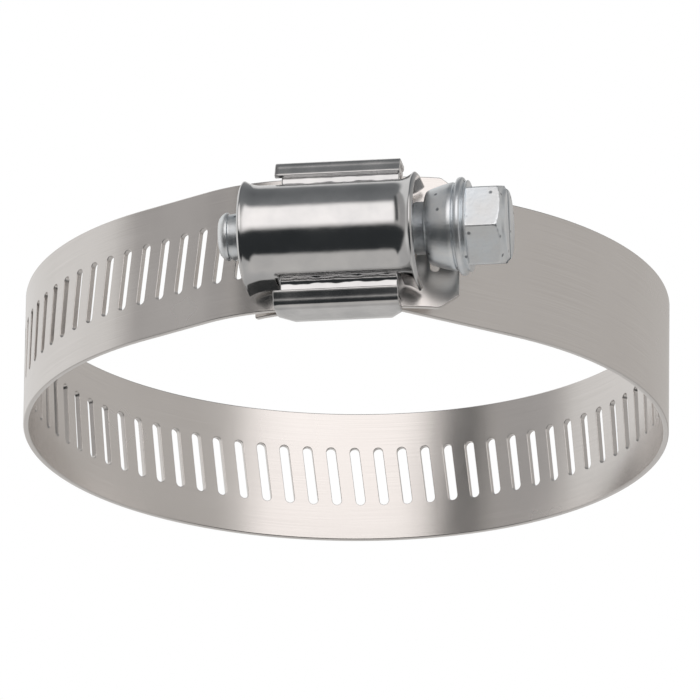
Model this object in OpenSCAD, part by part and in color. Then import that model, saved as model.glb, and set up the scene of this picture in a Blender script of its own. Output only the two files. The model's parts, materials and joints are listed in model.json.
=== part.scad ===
// Worm-drive hose clamp: a one-piece slotted band, a screw housing, a saddle and a hex-head worm screw.
// The origin is the centre of the clamped hose at mid width, +Z runs along the hose,
// the screw lies parallel to +X with its head at +X, and the housing is on the -Y side.

/* [Band] */
// Inner radius of the closed band
hose_r = 33.15; // [30:0.05:36]
// Width of the band
band_w = 14.29; // [12:0.01:16]
// Thickness of the band
band_t = 0.6; // [0.5:0.01:0.62]
// Width of one slot
slot_w = 1.0; // [0.9:0.01:1.1]
// Length of one slot over its round ends
slot_l = 6.5; // [5:0.1:7.5]
// Lean of the slots, which matches the lead of the thread
slot_lean = 7.5; // [5:0.1:9]

/* [Screw] */
// Pitch of the thread and of the slots
pitch = 2.54; // [2.54:0.01:2.54]
// Distance from the hose centre to the screw axis
axis_y = 38.9; // [38.8:0.05:39]
// Outer radius of the thread
crest_r = 3.4; // [3.3:0.01:3.42]
// Radius of the thread's core
root_r = 2.75; // [2.4:0.01:2.8]
// Width of the hexagonal head across its flats
hex_af = 7.94; // [7:0.01:8]
// Radius of the washer face under the head
washer_r = 5.05; // [4.8:0.05:5.05]

/* [Housing and saddle] */
// Outer radius of the barrel
barrel_r = 5.1; // [4.9:0.05:5.2]
// Thickness of the housing's sheet
housing_t = 0.7; // [0.5:0.05:0.8]
// Thickness of the saddle's sheet
saddle_t = 0.55; // [0.4:0.05:0.6]

/* [Hidden] */
$fn = 64;

// Places along X
barrel_x = [-4.45, 13.85];
flange_x = [-0.7, 11.5];
ear_x = [-1.35, 11.6];
plate_x = [0.8, 9.9];
thread_x = [-6.5, 13];
collar_x = 14.9;
washer_x = [17.75, 18.95];
hex_x = [18.85, 22.55];
end_x = 23.0;

// Distances from the hose centre to the sheets in the housing, measured towards -Y
plate_in = 33.9;
captive_in = plate_in + saddle_t;
run_in = 35.4;
run_mid = run_in + band_t / 2;
run_out = run_in + band_t;
flange_in = 38.3;
flange_out = 38.9;
lip_out = 39.5;
skirt_gap = 0.15;
skirt_in = run_out + skirt_gap;

// Half widths along Z
skirt_z = [6.55, 7.25];
ear_w = 7.95;
lip_w = 1.75;

// The barrel's flared rims, left and right: how far they stand out and how long they are
rim_out = [0.5, 0.85];
rim_l = [1.5, 1.9];
// Gap between the flanges and the legs that stand on the band at both ends
leg_gap = 0.3;

// The screw's turned outline, its hexagon and its end slot
point_r = [1.9, 2.35];
point_l = [0.45, 1.5];
collar_r = [3.7, 3.9];
collar_edge = 0.3;
washer_edge = 0.2;
hex_edge = [0.1, 0.55];
hex_end_r = hex_af / 2 - 0.5;
end_slot = [1.2, 2.1];
head_turn = 20.6;

// The band's mid line: a shoulder bend into the housing, a straight, the ring, a straight, a tight bend
mid_r = hose_r + band_t / 2;
left_lean = 30;
left_bend_r = 18 + band_t / 2;
right_lean = 40;
right_bend_r = 1.2 + band_t / 2;
left_line = (run_mid - left_bend_r * (1 - cos(left_lean)) - mid_r * cos(left_lean)) / sin(left_lean);
left_x = left_bend_r * sin(left_lean) + left_line * cos(left_lean) - mid_r * sin(left_lean);
captive_mid = captive_in + band_t / 2;
right_line = (captive_mid - right_bend_r + (right_bend_r - mid_r) * cos(right_lean)) / sin(right_lean);
right_x = (mid_r - right_bend_r) * sin(right_lean) - right_line * cos(right_lean);
tongue_x = 0.8;
tongue_r = 10.8;
tongue_turn = 26;
BAND = [
    [left_bend_r * left_lean * PI / 180, left_bend_r],
    [left_line, 0],
    [mid_r * (360 - left_lean - right_lean) * PI / 180, mid_r],
    [right_line, 0],
    [right_bend_r * right_lean * PI / 180, right_bend_r],
    [right_x - tongue_x, 0],
    [tongue_r * tongue_turn * PI / 180, tongue_r]
];
BAND_START = [left_x, -run_mid, 180];
bend_step = 2;

// The band is cut into rigid sections that hinge between the slots
cut_gap = 0.1;
tail_gap = 0.2;
run_slots = 3;
tail_slots = 3;
FLEX_SLOTS = [3, 4, 9, 9, 9, 9, 9, 9];
flex_start = -pitch / 2;
flex_end = flex_start + pitch * slots_before(len(FLEX_SLOTS));
band_end = length_before(4);
plain_l = (band_end - flex_end) / 2;
run_x = left_x + pitch / 2 + run_slots * pitch;
tail_lean = 10.3;
tail_l = [5, 3.6];
tail_curl = 6;
tail_cut = [2.1, 1.5];

// The thread is swept as rings of four points
steps = 24;
crest_w = 0.35;
flank_w = 0.75;
taper_turns = 1.2;
fade_turns = 1 / 3;
tip_r = 2.7;
thread_turns = (thread_x[1] - thread_x[0]) / pitch;
thread_in = root_r - 0.25;
thread_low = root_r - 0.1;
slot_at_x = left_x + pitch;
// Turns the crest to the band side, +Y, where it meets the middle of a slot
thread_phase = 90 - (slot_at_x - thread_x[0]) / pitch * 360;

STEEL = [0.76, 0.74, 0.72];
POLISHED = [0.62, 0.63, 0.64];
ZINC = [0.82, 0.86, 0.88];

// Number of slots in the flexing sections before section n
function slots_before(n) = n == 0 ? 0 : FLEX_SLOTS[n - 1] + slots_before(n - 1);
// Length of the mid line before its piece n
function length_before(n) = n == 0 ? 0 : BAND[n - 1][0] + length_before(n - 1);
// Moves a place [x, y, heading] by a length along a straight (r = 0) or a right-hand bend
function moved(p, l, r) =
    r == 0 ? [p.x + l * cos(p.z), p.y + l * sin(p.z), p.z]
    : let (h = p.z - l / r * 180 / PI)
        [p.x + r * (sin(p.z) - sin(h)), p.y + r * (cos(h) - cos(p.z)), h];
// Place at the start of piece n of the mid line, and at the length u along it
function piece_start(n) = n == 0 ? BAND_START : moved(piece_start(n - 1), BAND[n - 1][0], BAND[n - 1][1]);
function piece_at(u, n = 0) =
    n == len(BAND) - 1 || u < length_before(n + 1) ? n : piece_at(u, n + 1);
function place_at(u) =
    u < 0 ? moved(BAND_START, u, 0)
    : let (n = piece_at(u)) moved(piece_start(n), u - length_before(n), BAND[n][1]);

// The point at a distance to the right of a place, towards the hose
function beside(p, d) = [p.x + d * sin(p.z), p.y - d * cos(p.z)];
// Stops along piece n of the mid line that lie between a and b: none inside a straight
function piece_stops(n, a, b) =
    let (
        start = length_before(n),
        l = BAND[n][0],
        count = BAND[n][1] == 0 ? 1 : ceil(l / BAND[n][1] * 180 / PI / bend_step)
    )
    [for (i = [0 : count - 1]) let (u = start + l * i / count) if (u > a + 0.01 && u < b - 0.01) u];

// A round-ended slot that cuts through the strip at the local origin
module slot_hole() {
    rotate([90, 0, 0])
        linear_extrude(height = 3 * band_t, center = true)
            rotate(-slot_lean) {
                square([slot_w, slot_l - slot_w], center = true);
                for (side = [-1, 1])
                    translate([0, side * (slot_l - slot_w) / 2])
                        circle(d = slot_w, $fn = 32);
            }
}

module at_place(p) {
    translate([p.x, p.y, 0])
        rotate(p.z - 180)
            children();
}

// The strip on the ring's own circle, from length a to length b
module ring_strip(a, b) {
    turn = (b - a) / mid_r * 180 / PI;
    rotate(place_at(a).z + 90 - turn)
        rotate_extrude(angle = turn, $fn = 180)
            translate([hose_r, -band_w / 2])
                square([band_t, band_w]);
}

// The strip along the mid line from length a to length b, with its bends in small steps
module shaped_strip(a, b) {
    stops = concat([a], [for (n = [0 : len(BAND) - 1]) each piece_stops(n, a, b)], [b]);
    translate([0, 0, -band_w / 2])
        linear_extrude(height = band_w)
            polygon(concat(
                [for (u = stops) beside(place_at(u), band_t / 2)],
                [for (i = [len(stops) - 1 : -1 : 0]) beside(place_at(stops[i]), -band_t / 2)]
            ));
}

// A flexing section: its strip with its slots, a pitch apart
module flex_section(n) {
    start = flex_start + slots_before(n) * pitch;
    count = FLEX_SLOTS[n];
    from = start + cut_gap / 2;
    to = start + count * pitch - cut_gap / 2;
    color(STEEL)
        difference() {
            if (from > length_before(2))
                ring_strip(from, to);
            else
                shaped_strip(from, to);
            for (i = [0 : count - 1])
                at_place(place_at(start + (i + 0.5) * pitch))
                    slot_hole();
        }
}

module band_plain_1() {
    color(STEEL)
        shaped_strip(band_end - plain_l + cut_gap / 2, band_end - cut_gap / 2);
}

module band_plain_2() {
    color(STEEL)
        ring_strip(flex_end + cut_gap / 2, band_end - plain_l - cut_gap / 2);
}

// The slotted run under the screw
module band_worm_run() {
    color(STEEL)
        difference() {
            translate([left_x + pitch / 2 + cut_gap / 2, -run_out, -band_w / 2])
                cube([run_slots * pitch - cut_gap / 2 - tail_gap / 2, band_t, band_w]);
            for (i = [1 : run_slots])
                translate([left_x + i * pitch, -run_mid, 0])
                    slot_hole();
        }
}

// The loose tail dips under the screw's collar and ends in two cut corners
module band_tail() {
    color(STEEL)
        translate([run_x, -run_mid, 0])
            rotate(tail_lean)
                difference() {
                    union() {
                        translate([tail_gap / 2, -band_t / 2, -band_w / 2])
                            cube([tail_l[0] - tail_gap / 2, band_t, band_w]);
                        translate([tail_l[0], -band_t / 2, 0])
                            rotate(tail_curl)
                                rotate([-90, 0, 0])
                                    linear_extrude(height = band_t)
                                        polygon([
                                            [0, -band_w / 2],
                                            [tail_l[1] - tail_cut[0], -band_w / 2],
                                            [tail_l[1], tail_cut[1] - band_w / 2],
                                            [tail_l[1], band_w / 2 - tail_cut[1]],
                                            [tail_l[1] - tail_cut[0], band_w / 2],
                                            [0, band_w / 2]
                                        ]);
                    }
                    for (i = [0 : tail_slots - 1])
                        translate([(i + 0.5) * pitch, 0, 0])
                            slot_hole();
                }
}

// The other end of the band lies on the saddle, and its tongue sticks out past it
module band_captive_end() {
    color(STEEL)
        shaped_strip(band_end + cut_gap / 2, length_before(len(BAND)));
}

// Floor plate and two side walls, with lips folded in over the housing's flanges
module saddle() {
    color(POLISHED)
        union() {
            translate([plate_x[0], -captive_in, -ear_w])
                cube([plate_x[1] - plate_x[0], saddle_t, 2 * ear_w]);
            for (side = [0, 1])
                mirror([0, 0, side])
                    translate([0, 0, ear_w])
                        saddle_ear();
        }
}

// One side wall, drawn below z = 0, with its chamfered foot and its lip
module saddle_ear() {
    foot = plate_x[0] - ear_x[0];
    translate([0, 0, -saddle_t])
        linear_extrude(height = saddle_t)
            polygon([
                [ear_x[0], -lip_out], [ear_x[1], -lip_out],
                [ear_x[1], -plate_in - foot], [ear_x[1] - foot, -plate_in],
                [ear_x[0] + foot, -plate_in], [ear_x[0], -plate_in - foot]
            ]);
    translate([ear_x[0], -lip_out, -lip_w])
        cube([ear_x[1] - ear_x[0], lip_out - flange_out, lip_w]);
}

// Drawn along X about the screw axis: the arch with its two flared rims, then its flanges, skirts and legs
module housing() {
    arch_turn = 2 * (90 + asin((flange_out - flange_in) / barrel_r));
    cutter = 40;
    flange_l = flange_x[1] - flange_x[0];
    wall_mid = barrel_r - housing_t / 2;
    color(POLISHED)
        union() {
            difference() {
                translate([0, -axis_y, 0])
                    rotate([0, 90, 0])
                        rotate([0, 0, -90 - arch_turn / 2])
                            rotate_extrude(angle = arch_turn)
                                barrel_outline();
                translate([-cutter / 2, -flange_in, -cutter / 2])
                    cube(cutter);
            }
            for (side = [0, 1])
                mirror([0, 0, side]) {
                    translate([flange_x[0], -flange_out, wall_mid])
                        cube([flange_l, flange_out - flange_in, skirt_z[1] - wall_mid]);
                    translate([flange_x[0], -flange_in, skirt_z[0]])
                        cube([flange_l, flange_in - skirt_in, skirt_z[1] - skirt_z[0]]);
                    for (end = [0, 1])
                        barrel_leg(end);
                }
        }
}

// The barrel's side at its left end (0) or right end (1) goes straight down almost to the band
module barrel_leg(end) {
    inner = barrel_r - housing_t;
    start = flange_x[end] + (end == 0 ? -leg_gap : leg_gap);
    bend = barrel_x[end] + (end == 0 ? rim_l[0] : -rim_l[1]);
    translate([0, -axis_y, 0])
        rotate([0, -90, -90])
            linear_extrude(height = axis_y - skirt_in)
                polygon([
                    [inner, start], [inner, bend], [inner + rim_out[end], barrel_x[end]],
                    [barrel_r + rim_out[end], barrel_x[end]], [barrel_r, bend], [barrel_r, start]
                ]);
}

// Half section of the barrel's wall as [radius, length along the axis]
module barrel_outline() {
    inner = barrel_r - housing_t;
    body = [barrel_x[0] + rim_l[0], barrel_x[1] - rim_l[1]];
    polygon([
        [inner, body[0]], [inner, body[1]],
        [inner + rim_out[1], barrel_x[1]], [barrel_r + rim_out[1], barrel_x[1]],
        [barrel_r, body[1]], [barrel_r, body[0]],
        [barrel_r + rim_out[0], barrel_x[0]], [inner + rim_out[0], barrel_x[0]]
    ]);
}

// The rounded worm, the neck, the conical collar with its washer face, and the slotted hexagon
module worm_screw() {
    color(ZINC)
        translate([0, -axis_y, 0])
            rotate([0, 90, 0]) {
                difference() {
                    union() {
                        rotate_extrude()
                            screw_outline();
                        hex_head();
                    }
                    rotate(head_turn + 90)
                        translate([0, 0, end_x])
                            cube([end_slot[0], 2 * washer_r, 2 * end_slot[1]], center = true);
                }
                thread();
            }
}

// Half section of the screw without its thread as [radius, length along the axis]
module screw_outline() {
    polygon([
        [0, thread_x[0] - point_l[0]], [point_r[0], thread_x[0] - point_l[0]],
        [point_r[1], thread_x[0]], [root_r, thread_x[0] + point_l[1]],
        [root_r, collar_x - collar_edge], [collar_r[0], collar_x - collar_edge],
        [collar_r[1], collar_x], [washer_r - washer_edge, washer_x[0]],
        [washer_r, washer_x[0] + washer_edge], [washer_r, washer_x[1] - washer_edge],
        [washer_r - washer_edge, washer_x[1]], [0, washer_x[1]]
    ]);
}

// A hexagon whose outer corners are turned down to a short round end
module hex_head() {
    intersection() {
        translate([0, 0, hex_x[0]])
            rotate(head_turn + 30)
                cylinder(h = end_x - hex_x[0], d = hex_af / cos(30), $fn = 6);
        rotate_extrude()
            polygon([
                [0, hex_x[0]], [washer_r, hex_x[0]], [washer_r, hex_x[1] - hex_edge[1]],
                [hex_af / 2 - hex_edge[0], hex_x[1]], [hex_end_r, end_x], [0, end_x]
            ]);
    }
}

// Radius of the crest after a number of turns: it rises from the tip and fades at the neck
function crest_at(turn) = min(crest_r, tip_r + (crest_r - tip_r) * turn / taper_turns);
function end_fade(turn) = min(1, (thread_turns - turn) / fade_turns);
// Four points of the thread's section, after the given number of turns
function thread_ring(turn) =
    let (
        r = thread_low + (crest_at(turn) - thread_low) * end_fade(turn),
        x = thread_x[0] + turn * pitch,
        a = thread_phase + turn * 360
    )
    [for (q = [[thread_in, -flank_w], [r, -crest_w], [r, crest_w], [thread_in, flank_w]])
        [q[0] * cos(a), q[0] * sin(a), x + q[1] / 2]];

module thread() {
    count = floor(thread_turns * steps);
    points = [for (i = [0 : count]) each thread_ring(i / steps)];
    sides = [for (i = [0 : count - 1], k = [0 : 3])
        [4 * i + k, 4 * i + (k + 1) % 4, 4 * i + 4 + (k + 1) % 4, 4 * i + 4 + k]];
    polyhedron(points, concat([[3, 2, 1, 0]], sides, [[for (k = [0 : 3]) 4 * count + k]]));
}

housing();
saddle();
worm_screw();
band_captive_end();
band_worm_run();
band_tail();
flex_section(0);  // band_flex_1
flex_section(1);  // band_flex_2
flex_section(2);  // band_flex_3
flex_section(3);  // band_flex_4
flex_section(4);  // band_flex_5
flex_section(5);  // band_flex_6
flex_section(6);  // band_flex_7
flex_section(7);  // band_flex_8
band_plain_1();
band_plain_2();
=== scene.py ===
"""Looks of a worm-drive hose clamp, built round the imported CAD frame.

Shapes are worked out in millimetres in the CAD frame, and become metres when a mesh is made.
"""
import json
from math import asin, cos, pi, radians, sin

import bmesh
import bpy
import numpy as np
from mathutils import Matrix, Vector


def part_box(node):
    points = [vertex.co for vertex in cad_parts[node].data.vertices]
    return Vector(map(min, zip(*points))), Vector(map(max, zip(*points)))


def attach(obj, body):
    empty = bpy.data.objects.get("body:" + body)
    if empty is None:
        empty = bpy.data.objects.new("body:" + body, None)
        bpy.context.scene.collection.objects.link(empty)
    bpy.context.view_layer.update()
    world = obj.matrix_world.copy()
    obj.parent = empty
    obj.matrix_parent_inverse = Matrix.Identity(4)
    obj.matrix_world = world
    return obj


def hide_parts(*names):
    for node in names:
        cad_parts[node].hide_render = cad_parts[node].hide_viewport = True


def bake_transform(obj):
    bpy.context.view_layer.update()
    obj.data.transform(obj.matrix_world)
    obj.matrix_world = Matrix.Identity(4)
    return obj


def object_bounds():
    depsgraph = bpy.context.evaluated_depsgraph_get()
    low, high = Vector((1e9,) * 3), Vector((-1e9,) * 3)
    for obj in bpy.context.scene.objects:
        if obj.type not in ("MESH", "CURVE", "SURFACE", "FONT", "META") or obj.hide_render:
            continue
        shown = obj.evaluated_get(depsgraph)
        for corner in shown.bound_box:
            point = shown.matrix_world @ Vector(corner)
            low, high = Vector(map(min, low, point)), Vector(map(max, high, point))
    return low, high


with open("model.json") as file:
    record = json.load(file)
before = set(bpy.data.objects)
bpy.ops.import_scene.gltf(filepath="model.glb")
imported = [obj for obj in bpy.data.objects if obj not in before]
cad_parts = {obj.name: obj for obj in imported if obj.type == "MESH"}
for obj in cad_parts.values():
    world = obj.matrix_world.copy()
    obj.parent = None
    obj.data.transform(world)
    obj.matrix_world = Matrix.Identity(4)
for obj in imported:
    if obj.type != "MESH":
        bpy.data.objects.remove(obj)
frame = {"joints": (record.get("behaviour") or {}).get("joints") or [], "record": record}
cad_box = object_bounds()

MM = 0.001


def box_mm(cad_node):
    """The low and high corners of a CAD node's box, in millimetres."""
    low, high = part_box(cad_node)
    return low / MM, high / MM


def linked(name, data):
    """A new object in the scene for a mesh, a light or a camera."""
    made = bpy.data.objects.new(name, data)
    bpy.context.scene.collection.objects.link(made)
    return made


def face_outwards(mesh):
    """Turns the faces of a closed mesh outwards, or those of a sheet all to one side."""
    bm = bmesh.new()
    bm.from_mesh(mesh)
    bmesh.ops.recalc_face_normals(bm, faces=bm.faces)
    bm.to_mesh(mesh)
    bm.free()


# ---------------------------------------------------------------- the band's mid line
RUN_LOW, RUN_HIGH = box_mm("band_worm_run")
HOSE_R = frame["record"]["mounts"][0]["dims"]["r_mm"]
BAND_T = RUN_HIGH.y - RUN_LOW.y
BAND_W = RUN_HIGH.z - RUN_LOW.z
RUN_MID = -(RUN_LOW.y + RUN_HIGH.y) / 2
CAPTIVE_MID = -box_mm("band_captive_end")[0].y - BAND_T / 2
PITCH = 2.54
MID_R = HOSE_R + BAND_T / 2
LEFT_LEAN, RIGHT_LEAN = radians(30), radians(40)
LEFT_BEND_R, RIGHT_BEND_R = 18 + BAND_T / 2, 1.2 + BAND_T / 2
LEFT_LINE = (RUN_MID - LEFT_BEND_R * (1 - cos(LEFT_LEAN)) - MID_R * cos(LEFT_LEAN)) / sin(LEFT_LEAN)
LEFT_X = LEFT_BEND_R * sin(LEFT_LEAN) + LEFT_LINE * cos(LEFT_LEAN) - MID_R * sin(LEFT_LEAN)
RIGHT_LINE = (CAPTIVE_MID - RIGHT_BEND_R + (RIGHT_BEND_R - MID_R) * cos(RIGHT_LEAN)) / sin(RIGHT_LEAN)
RIGHT_X = (MID_R - RIGHT_BEND_R) * sin(RIGHT_LEAN) - RIGHT_LINE * cos(RIGHT_LEAN)
TONGUE_X, TONGUE_R, TONGUE_TURN = 0.8, 10.8, radians(26)
TAIL_BEND_R = 12
TAIL_LEAN, TAIL_CURL = radians(10.3), radians(6)
TAIL_L = (5, 3.6)
TAIL_CUT = (2.1, 1.5)
RUN_SLOTS = 3.5

# Each stretch is [length, radius], where radius 0 is a straight. The length 0 is where the left bend begins.
FORWARD = [
    (LEFT_BEND_R * LEFT_LEAN, LEFT_BEND_R),
    (LEFT_LINE, 0),
    (MID_R * (2 * pi - LEFT_LEAN - RIGHT_LEAN), MID_R),
    (RIGHT_LINE, 0),
    (RIGHT_BEND_R * RIGHT_LEAN, RIGHT_BEND_R),
    (RIGHT_X - TONGUE_X, 0),
    (TONGUE_R * TONGUE_TURN, TONGUE_R),
]
HALF_LEAN, HALF_CURL = TAIL_BEND_R * TAIL_LEAN / 2, TAIL_BEND_R * TAIL_CURL / 2
BACKWARD = [
    (RUN_SLOTS * PITCH - HALF_LEAN, 0),
    (2 * HALF_LEAN, TAIL_BEND_R),
    (TAIL_L[0] - HALF_LEAN - HALF_CURL, 0),
    (2 * HALF_CURL, TAIL_BEND_R),
    (TAIL_L[1] - HALF_CURL, 0),
]
BAND_END = sum(length for length, radius in FORWARD[:4])
TONGUE_END = sum(length for length, radius in FORWARD)
TAIL_END = -sum(length for length, radius in BACKWARD)


def moved(x, y, heading, length, radius):
    """A place moved along a straight or a right-hand bend."""
    if radius == 0:
        return x + length * cos(heading), y + length * sin(heading), heading
    turned = heading - length / radius
    return x + radius * (sin(heading) - sin(turned)), y + radius * (cos(turned) - cos(heading)), turned


def stretches():
    """Every stretch of the mid line as [length where it starts, x, y, heading, radius]."""
    rows = []
    u, place = 0, (LEFT_X, -RUN_MID, pi)
    for length, radius in FORWARD:
        rows.append([u, *place, radius])
        u, place = u + length, moved(*place, length, radius)
    u, place = 0, (LEFT_X, -RUN_MID, pi)
    for length, radius in BACKWARD:
        u, place = u - length, moved(*place, -length, radius)
        rows.insert(0, [u, *place, radius])
    return np.array(rows)


MID_LINE = stretches()


def places(u):
    """x, y and heading of the mid line at the lengths u."""
    rows = np.searchsorted(MID_LINE[:, 0], u, side="right") - 1
    start, x, y, heading, radius = MID_LINE[np.clip(rows, 0, len(MID_LINE) - 1)].T
    along = u - start
    bends = radius > 0
    r = np.where(bends, radius, 1)
    turned = heading - np.where(bends, along / r, 0)
    x = x + np.where(bends, r * (np.sin(heading) - np.sin(turned)), along * np.cos(heading))
    y = y + np.where(bends, r * (np.cos(turned) - np.cos(heading)), along * np.sin(heading))
    return x, y, turned


# ---------------------------------------------------------------- the band, drawn flat and then bent
SLOT_W, SLOT_L, SLOT_LEAN = 1.0, 6.5, radians(7.5)
# Radius of the rounding along the band's edges and round its slots
EDGE, SLOT_EDGE = 0.12, 0.07
# Faces along a slot's side, round its end, and over a rounded edge
SIDE_STEPS, ROUND_STEPS, EDGE_STEPS = 8, 10, 3
# Longest faces along a plain stretch, by length and by turn
PLAIN_STEP, TURN_STEP = 0.8, radians(3)


class Flat:
    """A strip's faces laid out flat, as (length along, distance across, height). Equal points are welded."""

    def __init__(self):
        self.index, self.faces, self.caps = {}, [], []

    def face(self, points):
        keys = [tuple(round(float(c), 5) + 0.0 for c in p) for p in points]
        self.faces.append([self.index.setdefault(k, len(self.index)) for k in keys])

    def cap(self, points):
        self.caps.append(len(self.faces))
        self.face(points)

    def rows(self, rows, closed):
        """Quads between neighbouring rows of points."""
        for a, b in zip(rows, rows[1:]):
            for i in range(len(a) if closed else len(a) - 1):
                j = (i + 1) % len(a)
                self.face([a[i], a[j], b[j], b[i]])


def side_wall(edge):
    """A rounded side from the top face to the bottom one, as (distance in from the side, height)."""
    turns = np.linspace(0, pi / 2, EDGE_STEPS + 1)
    top = [(edge * (1 - sin(a)), BAND_T / 2 - edge * (1 - cos(a))) for a in turns]
    return top + [(inside, -height) for inside, height in reversed(top)]


def section(u, shrink=0.0):
    """The strip's closed outline across it, less a shrink all round."""
    thin = 1 - 2 * shrink / BAND_T
    half_w = BAND_W / 2 - shrink
    top = [(u, z, thin * BAND_T / 2) for z in np.linspace(-1, 1, SIDE_STEPS + 1) * (half_w - EDGE)]
    side = [(u, half_w - inside, thin * height) for inside, height in side_wall(EDGE)[1:-1]]
    half = top + side
    return half + [(u, -z, -height) for u, z, height in half]


def cell_outline():
    """Points round one pitch of strip, from the low corner of its far side."""
    half_w = BAND_W / 2 - EDGE
    side = [(PITCH / 2, z) for z in np.linspace(-half_w, half_w, SIDE_STEPS + 1)[:-1]]
    top = [(a, half_w) for a in np.linspace(PITCH / 2, -PITCH / 2, ROUND_STEPS + 1)[:-1]]
    half = side + top
    return half + [(-a, -z) for a, z in half]


def slot_outline(grow):
    """The matching points round the slot, which leans, grown by a distance."""
    straight, r = (SLOT_L - SLOT_W) / 2, SLOT_W / 2 + grow
    side = [(r, z) for z in np.linspace(-straight, straight, SIDE_STEPS + 1)[:-1]]
    arc = [(r * cos(a), straight + r * sin(a)) for a in np.linspace(0, pi, ROUND_STEPS + 1)[:-1]]
    half = side + arc
    lean_cos, lean_sin = cos(SLOT_LEAN), sin(SLOT_LEAN)
    return [(a * lean_cos - z * lean_sin, a * lean_sin + z * lean_cos)
            for a, z in half + [(-a, -z) for a, z in half]]


def add_slot_cell(flat, u):
    """One pitch of strip about the length u, with its slot."""
    faces = [[(u + a, z, side * BAND_T / 2) for a, z in cell_outline()] for side in (1, -1)]
    wall = [[(u + a, z, height) for a, z in slot_outline(inside)] for inside, height in side_wall(SLOT_EDGE)]
    flat.rows([faces[0]] + wall + [faces[1]], closed=True)
    stops = np.linspace(-PITCH / 2, PITCH / 2, ROUND_STEPS + 1)
    for side in (-1, 1):
        flat.rows([[(u + a, side * (BAND_W / 2 - inside), height) for inside, height in side_wall(EDGE)]
                   for a in stops], closed=False)


def plain_stops(start, stop):
    """Lengths for the outlines of a plain stretch: close together where it bends tightly."""
    stops = [start]
    ends = [u for u in MID_LINE[:, 0] if start < u < stop] + [stop]
    for end in ends:
        middle = (stops[-1] + end) / 2
        radius = MID_LINE[np.searchsorted(MID_LINE[:, 0], middle) - 1, 4]
        step = min(PLAIN_STEP, radius * TURN_STEP) if radius else PLAIN_STEP
        stops.extend(np.linspace(stops[-1], end, int((end - stops[-1]) / step) + 2)[1:])
    return stops


def end_sections(end, inwards):
    """Outlines of a free end, from its rounded tip inwards."""
    turns = np.linspace(0, pi / 2, EDGE_STEPS + 1)
    return [section(end + inwards * EDGE * (1 - cos(a)), EDGE * (1 - sin(a))) for a in turns]


def cut_corners(points):
    """Draws the strip's long edges in towards the tip of the tail, to leave its corners cut off."""
    share = np.maximum(0, 1 - (points[:, 0] - TAIL_END) / TAIL_CUT[0])
    edge_zone = 2.1 * EDGE
    at_edge = np.abs(points[:, 1]) > BAND_W / 2 - edge_zone
    points[:, 1] -= np.where(at_edge, np.sign(points[:, 1]) * TAIL_CUT[1] * share, 0)


def strip_object(name, flat, material):
    """Bends a flat strip onto the mid line. Its normals are worked out flat, so that seams don't show."""
    points = np.array(list(flat.index))
    cut_corners(points)
    mesh = bpy.data.meshes.new(name)
    mesh.from_pydata(points.tolist(), [], flat.faces)
    face_outwards(mesh)
    normals = np.zeros_like(points)
    for polygon in mesh.polygons:
        if polygon.index not in flat.caps:
            normals[list(polygon.vertices)] += np.array(polygon.normal) * polygon.area
    uv = mesh.uv_layers.new(name="strip")
    for loop in mesh.loops:
        uv.data[loop.index].uv = points[loop.vertex_index][:2]
    x, y, heading = places(points[:, 0])
    along = np.stack([np.cos(heading), np.sin(heading), 0 * heading], 1)
    outwards = np.stack([-np.sin(heading), np.cos(heading), 0 * heading], 1)
    across = np.array([[0, 0, 1]])
    bent = np.stack([x, y, 0 * x], 1) + across * points[:, 1:2] + outwards * points[:, 2:3]
    mesh.vertices.foreach_set("co", (bent * MM).ravel())
    mesh.flip_normals()
    mesh.shade_smooth()
    turned = along * normals[:, :1] + across * normals[:, 1:2] + outwards * normals[:, 2:3]
    turned /= np.linalg.norm(turned, axis=1)[:, None]
    mesh.normals_split_custom_set_from_vertices(turned.tolist())
    mesh.materials.append(material)
    return linked(name, mesh)


def band_piece(name, start, stop, material, first_slot=0, slots=0, tip=None):
    """A stretch of band with a run of slots in it, and a free end at its start or its stop."""
    flat = Flat()
    slot_start = (first_slot - 0.5) * PITCH if slots else stop
    for i in range(slots):
        add_slot_cell(flat, (first_slot + i) * PITCH)
    if tip == "tail":
        outlines = end_sections(start, 1) + [section(u) for u in plain_stops(start + EDGE, slot_start)[1:]]
        flat.rows(outlines, closed=True)
        flat.cap(outlines[0])
    elif slot_start > start + EDGE:
        last = stop - EDGE if tip == "tongue" else slot_start
        outlines = [section(u) for u in plain_stops(start, last)]
        if tip == "tongue":
            outlines += end_sections(stop, -1)[::-1][1:]
            flat.cap(outlines[-1])
        flat.rows(outlines, closed=True)
    if tip != "tail":
        flat.cap(section(start))
    if tip != "tongue":
        flat.cap(section(stop))
    return strip_object(name, flat, material)


def bend(piece):
    """Bakes the piece's placement into its mesh."""
    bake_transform(piece)


# Places of the hinges, and of the seams between pieces, in pitches from where the left bend begins
HINGES = [-0.5, 2.5, 6.5, 15.5, 24.5, 33.5, 42.5, 51.5, 60.5]
SEAMS = [-1.5, 0.5, 4.5, 10.5, 20.5, 29.5, 38.5, 47.5, 56.5]
TAIL_SLOTS, LAST_SLOTS = 5, 4
SLOTTED_END = HINGES[-1] * PITCH


def slot_after(seam):
    """The number of the first slot past a seam, which lies half a pitch before it."""
    return int(seam + 0.5)


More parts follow.
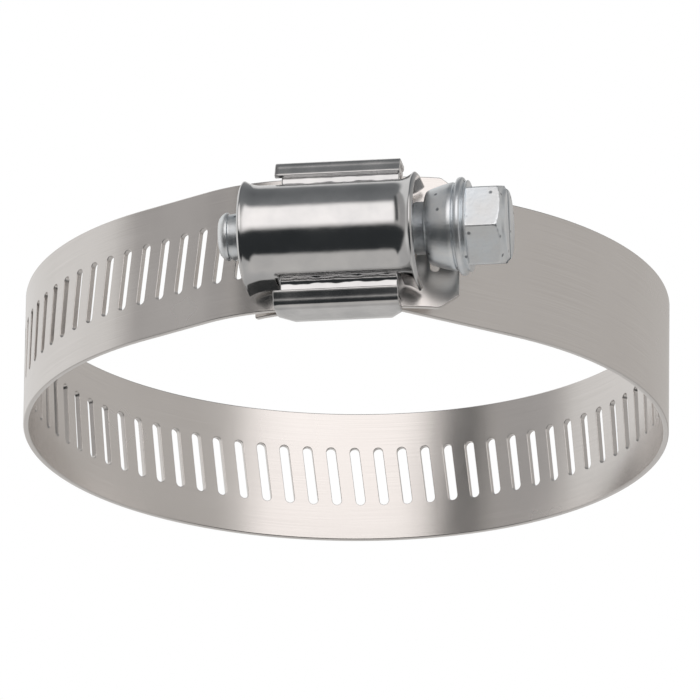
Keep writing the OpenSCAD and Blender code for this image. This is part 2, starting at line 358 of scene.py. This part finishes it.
def slotted_pieces(material):
    """The loose tail, the run under the screw and the slotted ring, each with the CAD node it stands for."""
    cad_nodes = ["band_worm_run"] + [f"band_flex_{n}" for n in range(1, 9)]
    first_slot = slot_after(SEAMS[0]) - TAIL_SLOTS
    piece = band_piece("band_tail_end", TAIL_END, SEAMS[0] * PITCH, material, first_slot, TAIL_SLOTS, "tail")
    bend(piece)
    made = [(piece, "band_tail")]
    for n in range(len(SEAMS) - 1):
        start, stop, hinge = SEAMS[n], SEAMS[n + 1], HINGES[n]
        piece = band_piece(f"band_strip_{n + 1}", start * PITCH, stop * PITCH,
                           material, slot_after(start), int(stop - start))
        bend(piece)
        made.append((piece, cad_nodes[n]))
    piece = band_piece("band_strip_9", SEAMS[-1] * PITCH, SLOTTED_END, material,
                       slot_after(SEAMS[-1]), LAST_SLOTS)
    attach(piece, "flex_8")
    made.append((piece, "band_flex_8"))
    return made


def plain_pieces(material):
    """The plain quarter and the captive tongue, each with the CAD node it stands for."""
    quarter = (BAND_END - SLOTTED_END) / 4
    first = band_piece("band_plain_a", SLOTTED_END, SLOTTED_END + quarter, material)
    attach(first, "plain_2")
    second = band_piece("band_plain_b", SLOTTED_END + quarter, BAND_END - quarter, material)
    bend(second)
    tongue = band_piece("band_captive_tongue", BAND_END - quarter, TONGUE_END, material, tip="tongue")
    bend(tongue)
    return [(first, "band_plain_2"), (second, "band_plain_1"), (tongue, "band_captive_end")]


def make_band(material):
    """Each piece runs from the middle of one rigid section to the middle of the next, over their hinge."""
    for piece, cad_node in slotted_pieces(material) + plain_pieces(material):
        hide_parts(cad_node)


# ---------------------------------------------------------------- bent sheets: housing and saddle
def sheet_object(name, patches, thickness, edge, material):
    """Grids of points on a sheet's middle, welded where they meet, thickened, and rounded at the edges."""
    index, faces = {}, []
    for rows in patches:
        keys = [[tuple(round(float(c), 4) + 0.0 for c in p) for p in row] for row in rows]
        ids = [[index.setdefault(k, len(index)) for k in row] for row in keys]
        for a, b in zip(ids, ids[1:]):
            faces += [[a[i], a[i + 1], b[i + 1], b[i]] for i in range(len(a) - 1)]
    mesh = bpy.data.meshes.new(name)
    mesh.from_pydata([[c * MM for c in p] for p in index], [], faces)
    face_outwards(mesh)
    mesh.shade_smooth()
    mesh.materials.append(material)
    piece = linked(name, mesh)
    solid = piece.modifiers.new("sheet", "SOLIDIFY")
    solid.thickness = thickness * MM
    solid.offset = 0
    solid.use_even_offset = True
    rounded = piece.modifiers.new("edges", "BEVEL")
    rounded.width = edge * MM
    rounded.segments = EDGE_STEPS
    rounded.angle_limit = radians(50)
    piece.modifiers.new("shading", "WEIGHTED_NORMAL")
    apply_modifiers(piece)
    return piece


def apply_modifiers(piece):
    """Makes the modifiers' result the piece's own mesh."""
    evaluated = piece.evaluated_get(bpy.context.evaluated_depsgraph_get())
    mesh = bpy.data.meshes.new_from_object(evaluated)
    piece.modifiers.clear()
    piece.data = mesh


SCREW_Y = -frame["joints"][0]["pos_m"][1] / MM
HOUSING_LOW, HOUSING_HIGH = box_mm("housing")
HOUSING_T, HOUSING_EDGE = 0.6, 0.17
ARCH_R = 4.8
# The flared rims, left and right: how far they stand out, how long they are, and where they end
RIM_OUT, RIM_L = (0.62, 0.85), (1.9, 2.0)
RIM_X = (HOUSING_LOW.x + 0.1, HOUSING_HIGH.x - 0.2)
FLANGE_X, NOTCH = (-0.7, 11.5), 0.3
# Middle of the flanges' sheet, and of the skirts', with the distance from the hose's middle where they end
FLANGE_MID, FILLET_R, CORNER_R = 38.6, 0.9, 0.5
SKIRT_MID, SKIRT_IN = 6.9, 36.3
LEG_SPREAD = 0.12
# Unevenness of the pressed edge, and the length over which it fades out
CRIMP, CRIMP_FADE = 0.035, 1.5


def flare(x):
    """How far the arch stands out near its two rims."""
    left = max(0, 1 - (x - RIM_X[0]) / RIM_L[0])
    right = max(0, 1 - (RIM_X[1] - x) / RIM_L[1])
    return RIM_OUT[0] * left ** 2 + RIM_OUT[1] * right ** 2


def arch_point(x, turn):
    """A point on the arch, turned from the outermost line towards +Z."""
    r = ARCH_R + flare(x)
    return (x, -SCREW_Y - r * cos(turn), r * sin(turn))


def leg_point(x, side, turn_end, rho):
    """A point on the straight leg below the arch's side, at the distance rho from the hose's middle."""
    x, y, z = arch_point(x, side * turn_end)
    foot = FLANGE_MID + FILLET_R
    share = (foot - rho) / (foot - SKIRT_IN)
    return (x, y * (1 - share) - SKIRT_IN * share, z + side * share * LEG_SPREAD)


def flange_row(step, turn_end):
    """Places across a flange and skirt: (distance from the hose's middle, z, share of flare, of crimp)."""
    foot_z = ARCH_R * sin(turn_end)
    fillet = [(FLANGE_MID + FILLET_R * (1 - sin(a)), foot_z + FILLET_R * (1 - cos(a)), cos(a), sin(2 * a))
              for a in np.linspace(0, pi / 2, step)]
    corner = [(FLANGE_MID - CORNER_R * (1 - cos(a)), SKIRT_MID - CORNER_R * (1 - sin(a)), 0, 0)
              for a in np.linspace(0, pi / 2, step)]
    skirt = [(rho, SKIRT_MID, 0, 0) for rho in np.linspace(FLANGE_MID - CORNER_R, SKIRT_IN, 5)[1:]]
    return fillet + corner + skirt


def crimp(x, side):
    """Uneven height of the pressed edge beside the saddle's lip, which fades out at the flange's ends."""
    fade = min(1, (x - FLANGE_X[0]) / CRIMP_FADE, (FLANGE_X[1] - x) / CRIMP_FADE)
    return CRIMP * fade * (sin(1.7 * x + side) + 0.6 * sin(4.3 * x + 2 * side) + 0.3 * sin(8.9 * x))


def make_housing(material):
    """The arch over its whole length, a leg on each side at each end, and the flanges with their skirts."""
    columns = np.concatenate([
        np.linspace(RIM_X[0], FLANGE_X[0] - NOTCH, 14), [FLANGE_X[0]],
        np.linspace(FLANGE_X[0], FLANGE_X[1], 60)[1:],
        np.linspace(FLANGE_X[1] + NOTCH, RIM_X[1], 7)])
    arch_end = pi / 2 - asin((FLANGE_MID + FILLET_R - SCREW_Y) / ARCH_R)
    patches = [[[arch_point(x, turn) for x in columns] for turn in np.linspace(-arch_end, arch_end, 61)]]
    on_flange = [x for x in columns if FLANGE_X[0] <= x <= FLANGE_X[1]]
    for side in (-1, 1):
        for beside in ([x for x in columns if x < FLANGE_X[0]], [x for x in columns if x > FLANGE_X[1]]):
            patches.append([[leg_point(x, side, arch_end, rho) for x in beside]
                            for rho in np.linspace(FLANGE_MID + FILLET_R, SKIRT_IN, 9)])
        rows = [[arch_point(x, side * arch_end) for x in on_flange]]
        for rho, z, flared, crimped in flange_row(8, arch_end)[1:]:
            rows.append([(x, -rho - crimped * crimp(x, side), side * (z + flared * flare(x)))
                         for x in on_flange])
        patches.append(rows)
    piece = sheet_object("housing_shell", patches, HOUSING_T, HOUSING_EDGE, material)
    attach(piece, "base")
    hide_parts("housing")


SADDLE_LOW, SADDLE_HIGH = box_mm("saddle")
SADDLE_T, SADDLE_EDGE, SADDLE_BEND_R = 0.55, 0.12, 0.5
PLATE_X = (0.8, 9.9)
# Width of the lips, and how much lower they lie at the side walls
LIP_W, LIP_DROP = 1.75, 0.36


def saddle_line(step):
    """Half of the saddle's bent line, from its middle to its sloping lip, as (distance from the hose, z)."""
    r = SADDLE_BEND_R
    floor = -SADDLE_HIGH.y + SADDLE_T / 2
    crest = -SADDLE_LOW.y - SADDLE_T / 2
    top = crest - LIP_DROP
    wall = SADDLE_HIGH.z - SADDLE_T / 2
    line = [(floor, z) for z in np.linspace(0, wall - r, 6)]
    line += [(floor + r * (1 - cos(a)), wall - r * (1 - sin(a))) for a in np.linspace(0, pi / 2, step)[1:]]
    line += [(rho, wall) for rho in np.linspace(floor + r, top - r, 10)[1:]]
    line += [(top - r * (1 - cos(a)), wall - r * (1 - sin(a))) for a in np.linspace(pi / 2, 0, step)[1:]]
    lip = np.linspace(0, 1, 4)[1:]
    return line + [(top + share * LIP_DROP, wall - r - share * (LIP_W - SADDLE_T / 2 - r)) for share in lip]


def saddle_ends(rho):
    """Where the sheet starts and stops along X: its side walls widen away from the floor."""
    floor = -SADDLE_HIGH.y
    wide = min(1, max(0, (rho - floor) / (PLATE_X[0] - SADDLE_LOW.x)))
    return (PLATE_X[0] + wide * (SADDLE_LOW.x - PLATE_X[0]), PLATE_X[1] + wide * (SADDLE_HIGH.x - PLATE_X[1]))


def make_saddle(material):
    """One bent sheet from lip to lip."""
    half = saddle_line(6)
    line = [(rho, -z) for rho, z in reversed(half[1:])] + half
    rows = []
    for rho, z in line:
        start, stop = saddle_ends(rho)
        rows.append([(x, -rho, z) for x in np.linspace(start, stop, 24)])
    piece = sheet_object("saddle_channel", [rows], SADDLE_T, SADDLE_EDGE, material)
    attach(piece, "base")
    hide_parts("saddle")


# ---------------------------------------------------------------- the screw
# Where the tip meets the thread's root, its radius there, and how fast it widens to the root
TIP_X, TIP_R, TIP_SLOPE = -5.75, 2.3, 0.1
ROOT_R, CREST_R = 2.6, 3.4
CREST_W, BASE_W = 0.42, 1.2
# Where the thread starts to rise and where it stops, and the lengths over which it rises and runs out
RISE_X, THREAD_STOP = -5.8, 13
RISE_L, RUN_OUT_L = 1.6, 0.8
HEX_AF, HEX_CORNER, HEAD_TURN = 7.94, 0.12, radians(20.6)
HEX_X = 19.02
END_X = box_mm("worm_screw")[1].x
END_SLOT_W, END_SLOT_L = 1.2, 2.1
# The turned outline as (x, radius): the point, the neck, the cone, its groove, the washer, and the head
POINT = [(-6.95, 0.0), (-6.95, 1.3), (-6.93, 1.75), (-6.85, 1.95), (-6.6, 2.25), (-6.35, 2.42),
         (-6.1, 2.5), (-5.95, 2.46), (-5.85, 2.3)]
COLLAR = [(13.4, 2.72), (14.2, 2.72), (14.45, 2.8), (14.58, 3.55), (14.66, 3.7), (14.85, 3.84), (15.5, 4.07),
          (16.3, 4.32), (17.0, 4.5), (17.3, 4.56), (17.48, 4.5), (17.56, 4.34), (17.68, 4.3),
          (17.76, 4.5), (17.82, 4.8), (17.92, 4.98), (18.06, 5.04), (18.3, 5.04), (18.42, 4.98), (18.5, 4.84),
          (18.56, 4.66), (18.63, 4.6), (18.72, 4.63), (18.8, 4.68), (18.9, 4.7), (18.96, 4.66)]
HEAD = [(HEX_X, 4.62), (19.3, 4.64), (20, 4.64), (21, 4.64), (21.8, 4.64), (22.0, 4.62), (22.15, 4.56),
        (22.28, 4.45), (22.4, 4.25), (22.5, 4.05), (22.56, 3.92), (22.62, 3.8), (22.75, 3.68), (22.88, 3.58),
        (22.96, 3.5), (END_X, 3.4), (END_X, 2.6), (END_X, 1.6), (END_X, 0.7), (END_X, 0.0)]


def soft_min(a, b, blend):
    """The smaller of two values, rounded where they meet."""
    near = np.maximum(blend - np.abs(a - b), 0) / blend
    return np.minimum(a, b) - near ** 2 * blend / 4


def screw_angles():
    """Angles round the screw, closer together at the hexagon's corners."""
    steps = [0, 0.5, 1, 1.6, 2.4, 3.5, 5, 7, 10, 14, 18, 22, 26]
    sector = [-s for s in reversed(steps[1:])] + steps + [30]
    return np.array([HEAD_TURN + radians(30 + 60 * k + s) for k in range(6) for s in sector])


def thread_height(x, angles):
    """How far the thread stands out at x. Beside the band, at 90 degrees, its turns meet the slots."""
    turn = (x - (LEFT_X + PITCH)) / PITCH - (angles - pi / 2) / (2 * pi)
    off = np.abs(turn - np.round(turn)) * PITCH
    tooth = np.clip((BASE_W / 2 - off) / ((BASE_W - CREST_W) / 2), 0, 1)
    rounding = 0.35
    tooth = tooth * tooth * (3 - 2 * tooth) * rounding + tooth * (1 - rounding)
    rise = min(1, max(0, (x - RISE_X) / RISE_L)) * min(1, max(0, (THREAD_STOP - x) / RUN_OUT_L))
    return (CREST_R - ROOT_R) * tooth * rise


def hexagon(angles):
    """Radius of the hexagon, with slightly rounded corners."""
    off = np.abs((angles - HEAD_TURN + pi / 6) % (pi / 3) - pi / 6)
    return soft_min(HEX_AF / 2 / np.cos(off), HEX_AF / 2 / np.cos(pi / 3 - off), HEX_CORNER)


def screw_rings(angles):
    """The screw's outlines from its point to its head, as (x, radius at each angle)."""
    step, head_edge = 0.1, 0.1
    rings = [(x, np.full_like(angles, r)) for x, r in POINT]
    for x in np.arange(TIP_X, THREAD_STOP + 3 * step, step):
        root = min(ROOT_R, TIP_R + TIP_SLOPE * (x - TIP_X))
        rings.append((x, root + thread_height(x, angles)))
    rings += [(x, np.full_like(angles, r)) for x, r in COLLAR]
    rings += [(x, soft_min(hexagon(angles), np.full_like(angles, r), head_edge) if r > 0 else 0 * angles)
              for x, r in HEAD]
    return rings


def screw_mesh():
    """A closed mesh over the rings. The first and last ring are a single point each."""
    angles = screw_angles()
    rings = screw_rings(angles)
    count = len(angles)
    points, faces = [], []
    for x, r in rings[1:-1]:
        points += [(x * MM, (q * sin(a) - SCREW_Y) * MM, -q * cos(a) * MM) for q, a in zip(r, angles)]
    for i in range(len(rings) - 3):
        faces += [[i * count + k, i * count + (k + 1) % count, (i + 1) * count + (k + 1) % count,
                   (i + 1) * count + k] for k in range(count)]
    for x, ring in ((rings[0][0], 0), (rings[-1][0], len(rings) - 3)):
        points.append((x * MM, -SCREW_Y * MM, 0))
        faces += [[ring * count + k, ring * count + (k + 1) % count, len(points) - 1] for k in range(count)]
    mesh = bpy.data.meshes.new("worm_screw_turned")
    mesh.from_pydata(points, [], faces)
    face_outwards(mesh)
    return mesh


def make_screw(material):
    """Thread, collar, washer face and hexagon in one piece, with a slot cut across its end."""
    mesh = screw_mesh()
    mesh.materials.append(material)
    piece = linked("worm_screw_turned", mesh)
    cut_end_slot(piece)
    piece.data.shade_smooth()
    piece.data.set_sharp_from_angle(angle=radians(35))
    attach(piece, "screw")
    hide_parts("worm_screw")


def cut_end_slot(piece):
    """Cuts the straight slot across the head's end, with a small chamfer at its mouth."""
    half, mouth, chamfer, half_reach = END_SLOT_W / 2, 1.0, 0.1, 8
    outline = [(-half, END_X - END_SLOT_L), (half, END_X - END_SLOT_L), (half, END_X - chamfer),
               (half + chamfer, END_X), (half + chamfer, END_X + mouth), (-half - chamfer, END_X + mouth),
               (-half - chamfer, END_X), (-half, END_X - chamfer)]
    bm = bmesh.new()
    ends = []
    for reach in (-half_reach, half_reach):
        ends.append([bm.verts.new(slot_point(reach, off, x)) for off, x in outline])
    count = len(outline)
    for k in range(count):
        bm.faces.new([ends[0][k], ends[0][(k + 1) % count], ends[1][(k + 1) % count], ends[1][k]])
    bm.faces.new(ends[0])
    bm.faces.new(ends[1][::-1])
    bmesh.ops.recalc_face_normals(bm, faces=bm.faces)
    mesh = bpy.data.meshes.new("cutter")
    bm.to_mesh(mesh)
    bm.free()
    cutter = linked("cutter", mesh)
    cut = piece.modifiers.new("slot", "BOOLEAN")
    cut.operation = "DIFFERENCE"
    cut.object = cutter
    cut.solver = "EXACT"
    apply_modifiers(piece)
    bpy.data.objects.remove(cutter)


def slot_point(along, off, x):
    """A point at a distance along the end slot and off its middle line."""
    y = along * sin(HEAD_TURN) + off * cos(HEAD_TURN)
    z = -along * cos(HEAD_TURN) + off * sin(HEAD_TURN)
    return (x * MM, (y - SCREW_Y) * MM, z * MM)


# ---------------------------------------------------------------- materials
def node(tree, kind, links=None, **values):
    """A shader node with its settings and inputs. An input may be a number, a colour or another socket."""
    made = tree.nodes.new(kind)
    for name, value in values.items():
        setattr(made, name, value)
    for name, value in (links or {}).items():
        socket = made.inputs[name]
        if isinstance(value, bpy.types.NodeSocket):
            tree.links.new(value, socket)
        else:
            socket.default_value = value
    return made


def ramp(tree, factor, stops):
    """A colour ramp from (position, grey or colour) stops."""
    made = node(tree, "ShaderNodeValToRGB", {"Fac": factor})
    elements = made.color_ramp.elements
    while len(elements) < len(stops):
        elements.new(0.5)
    for element, (position, value) in zip(elements, stops):
        element.position = position
        element.color = (*(value if isinstance(value, tuple) else (value,) * 3), 1)
    return made.outputs["Color"]


def mixed(tree, factor, first, second):
    """Two colours mixed by a factor. Each may be a colour or a socket."""
    mix = node(tree, "ShaderNodeMix", {"Factor": factor, "A": first, "B": second}, data_type="RGBA")
    return next(s for s in mix.outputs if s.type == "RGBA" and s.enabled)


def metal(name):
    """A new metallic material, its tree and its shader."""
    material = bpy.data.materials.new(name)
    material.use_nodes = True
    tree = material.node_tree
    shader = tree.nodes["Principled BSDF"]
    shader.inputs["Metallic"].default_value = 1.0
    return material, tree, shader


def band_material():
    """Rolled stainless strip: warm grey, with fine streaks along its length and faint clouding."""
    material, tree, shader = metal("band_steel")
    strip = node(tree, "ShaderNodeUVMap", uv_map="strip").outputs["UV"]
    place = node(tree, "ShaderNodeTexCoord").outputs["Object"]
    stretched = node(tree, "ShaderNodeMapping", {"Vector": strip, "Scale": (0.05, 9.0, 1.0)}).outputs[0]
    streaks = node(tree, "ShaderNodeTexNoise", {"Vector": stretched, "Scale": 1.6, "Detail": 5.0,
                                                "Roughness": 0.6}).outputs["Fac"]
    clouds = node(tree, "ShaderNodeTexNoise", {"Vector": place, "Scale": 90.0, "Detail": 3.0}).outputs["Fac"]
    both = node(tree, "ShaderNodeMix", {"Factor": 0.45, "A": streaks, "B": clouds}).outputs["Result"]
    tree.links.new(ramp(tree, both, [(0.35, (0.70, 0.675, 0.655)), (0.65, (0.80, 0.775, 0.755))]),
                   shader.inputs["Base Color"])
    tree.links.new(ramp(tree, clouds, [(0.3, 0.20), (0.7, 0.28)]), shader.inputs["Roughness"])
    bump = node(tree, "ShaderNodeBump", {"Height": streaks, "Strength": 0.10, "Distance": 0.00003})
    tree.links.new(bump.outputs["Normal"], shader.inputs["Normal"])
    return material


def sheet_material(name, dark, light, smooth, rough):
    """Pressed stainless sheet: polished, with faint dents, forming marks and a softer patchwork of gloss."""
    material, tree, shader = metal(name)
    place = node(tree, "ShaderNodeTexCoord").outputs["Object"]
    clouds = node(tree, "ShaderNodeTexNoise", {"Vector": place, "Scale": 260.0, "Detail": 4.0}).outputs["Fac"]
    dents = node(tree, "ShaderNodeTexNoise", {"Vector": place, "Scale": 420.0, "Detail": 2.0}).outputs["Fac"]
    tree.links.new(ramp(tree, clouds, [(0.35, dark), (0.65, light)]), shader.inputs["Base Color"])
    tree.links.new(ramp(tree, clouds, [(0.3, smooth), (0.7, rough)]), shader.inputs["Roughness"])
    bump = node(tree, "ShaderNodeBump", {"Height": dents, "Strength": 0.3, "Distance": 0.00007})
    tree.links.new(bump.outputs["Normal"], shader.inputs["Normal"])
    return material


def zinc_material():
    """Zinc plate: bluish silver, with uneven gloss, fine grain and scattered dark pits."""
    material, tree, shader = metal("screw_zinc")
    place = node(tree, "ShaderNodeTexCoord").outputs["Object"]
    patches = node(tree, "ShaderNodeTexNoise", {"Vector": place, "Scale": 330.0, "Detail": 4.0,
                                                "Roughness": 0.65}).outputs["Fac"]
    grain = node(tree, "ShaderNodeTexNoise", {"Vector": place, "Scale": 2600.0, "Detail": 2.0}).outputs["Fac"]
    cells = node(tree, "ShaderNodeTexVoronoi", {"Vector": place, "Scale": 650.0, "Randomness": 1.0})
    pits = ramp(tree, cells.outputs["Distance"], [(0.07, 0.0), (0.16, 1.0)])
    shade = ramp(tree, patches, [(0.34, (0.78, 0.83, 0.87)), (0.62, (0.93, 0.95, 0.96))])
    tree.links.new(mixed(tree, pits, (0.25, 0.27, 0.29, 1), shade), shader.inputs["Base Color"])
    tree.links.new(ramp(tree, patches, [(0.3, 0.30), (0.7, 0.46)]), shader.inputs["Roughness"])
    height = node(tree, "ShaderNodeMath", {0: patches, 1: grain}, operation="ADD").outputs[0]
    height = node(tree, "ShaderNodeMath", {0: height, 1: pits}, operation="ADD").outputs[0]
    bump = node(tree, "ShaderNodeBump", {"Height": height, "Strength": 0.22, "Distance": 0.00006})
    tree.links.new(bump.outputs["Normal"], shader.inputs["Normal"])
    return material


# ---------------------------------------------------------------- floor, light and camera
def make_floor():
    """A pale floor under the clamp, seen only from above."""
    size, gap = 1.5, 0.00005
    mesh = bpy.data.meshes.new("floor")
    z = cad_box[0].z - gap
    mesh.from_pydata([(-size, -size, z), (size, -size, z), (size, size, z), (-size, size, z)],
                     [], [[0, 1, 2, 3]])
    floor = linked("floor", mesh)
    material = bpy.data.materials.new("floor")
    material.use_nodes = True
    tree = material.node_tree
    tree.nodes.remove(tree.nodes["Principled BSDF"])
    pale = node(tree, "ShaderNodeBsdfDiffuse", {"Color": (0.86, 0.86, 0.86, 1)}).outputs[0]
    clear = node(tree, "ShaderNodeBsdfTransparent").outputs[0]
    below = node(tree, "ShaderNodeNewGeometry").outputs["Backfacing"]
    both = node(tree, "ShaderNodeMixShader", {0: below, 1: pale, 2: clear}).outputs[0]
    tree.links.new(both, tree.nodes["Material Output"].inputs["Surface"])
    mesh.materials.append(material)
    floor.visible_glossy = False


def window(tree, value, low, high, soft):
    """1 between low and high, falling smoothly to 0 over a soft edge, in degrees."""
    low, high, soft = radians(low), radians(high), radians(soft)
    rise = node(tree, "ShaderNodeMapRange", {"Value": value, "From Min": low - soft, "From Max": low + soft},
                interpolation_type="SMOOTHSTEP").outputs[0]
    fall = node(tree, "ShaderNodeMapRange", {"Value": value, "From Min": high - soft, "From Max": high + soft,
                                             "To Min": 1.0, "To Max": 0.0},
                interpolation_type="SMOOTHSTEP").outputs[0]
    return node(tree, "ShaderNodeMath", {0: rise, 1: fall}, operation="MULTIPLY").outputs[0]


# The studio's shade from straight below to straight above, as (share of the way up, colour)
SHADES = [
    (0.0, (0.60, 0.59, 0.58)),
    (0.42, (0.46, 0.45, 0.44)),
    (0.61, (0.56, 0.54, 0.52)),
    (0.80, (0.24, 0.245, 0.25)),
    (1.0, (0.16, 0.165, 0.17)),
]
# Studio cards as (azimuth range, elevation range, soft edge, colour). Azimuth 0 is towards -Y, 90 towards +X
CARDS = [
    ((-200, -79), (-20, 60), 8, (0.80, 0.79, 0.78)),
    ((-76, -50), (-10, 60), 5, (0.40, 0.39, 0.385)),
    ((-200, 200), (-95, -62), 8, (0.62, 0.60, 0.58)),
    ((-75, 75), (-66, -8), 5, (0.035, 0.038, 0.040)),
    ((-43, -27), (0, 60), 4, (0.11, 0.11, 0.11)),
    ((-21, 46), (-3, 47), 7, (1.30, 1.25, 1.23)),
]


def make_world():
    """A soft studio all round: white to the camera, with cards of light and dark for the metal to reflect."""
    world = bpy.data.worlds.new("studio")
    bpy.context.scene.world = world
    world.use_nodes = True
    tree = world.node_tree
    direction = node(tree, "ShaderNodeTexCoord").outputs["Generated"]
    split = node(tree, "ShaderNodeSeparateXYZ", {0: direction}).outputs
    towards = node(tree, "ShaderNodeMath", {0: split["Y"], 1: -1.0}, operation="MULTIPLY").outputs[0]
    azimuth = node(tree, "ShaderNodeMath", {0: split["X"], 1: towards}, operation="ARCTAN2").outputs[0]
    elevation = node(tree, "ShaderNodeMath", {0: split["Z"]}, operation="ARCSINE").outputs[0]
    height = node(tree, "ShaderNodeMapRange", {"Value": elevation, "From Min": -pi / 2, "From Max": pi / 2})
    shade = ramp(tree, height.outputs[0], SHADES)
    for (left, right), (low, high), soft, colour in CARDS:
        across = window(tree, azimuth, left, right, soft)
        up = window(tree, elevation, low, high, soft)
        both = node(tree, "ShaderNodeMath", {0: across, 1: up}, operation="MULTIPLY").outputs[0]
        shade = mixed(tree, both, shade, (*colour, 1))
    seen = node(tree, "ShaderNodeLightPath").outputs["Is Camera Ray"]
    tree.links.new(mixed(tree, seen, shade, (1, 1, 1, 1)), tree.nodes["Background"].inputs["Color"])


def make_soft_light(name, place, size, power):
    """A round area light, pointed at the clamp and left out of its reflections."""
    light = bpy.data.lights.new(name, "AREA")
    light.shape = "DISK"
    light.size = size
    light.energy = power
    lamp = linked(name, light)
    lamp.location = place
    lamp.rotation_mode = "QUATERNION"
    lamp.rotation_quaternion = (-Vector(place)).to_track_quat("-Z", "Y")
    lamp.visible_camera = False
    lamp.visible_glossy = False


def make_camera():
    """A long lens from below and a little to the head's side, with the Standard view transform."""
    azimuth, elevation = radians(9.3), radians(-20.61)
    distance, roll = 1.5314, radians(0.79)
    back = Vector((sin(azimuth) * cos(elevation), -cos(azimuth) * cos(elevation), sin(elevation)))
    data = bpy.data.cameras.new("camera")
    data.sensor_width = 36
    data.lens = 752.1
    data.shift_x = 0.0045
    data.shift_y = 0.0247
    data.clip_start = 0.1
    data.clip_end = 20
    camera = linked("camera", data)
    turn = (-back).to_track_quat("-Z", "Y").to_matrix().to_4x4() @ Matrix.Rotation(roll, 4, "Z")
    camera.matrix_world = Matrix.Translation(back * distance) @ turn
    bpy.context.scene.camera = camera
    bpy.context.scene.view_settings.view_transform = "Standard"


make_camera()
make_band(band_material())
make_housing(sheet_material("housing_steel", (0.60, 0.605, 0.61), (0.70, 0.70, 0.70), 0.10, 0.17))
make_saddle(sheet_material("saddle_steel", (0.58, 0.58, 0.58), (0.72, 0.715, 0.71), 0.14, 0.24))
make_screw(zinc_material())
make_floor()
make_world()
make_soft_light("key", (-0.3, -0.5, 0.9), size=0.6, power=3.0)
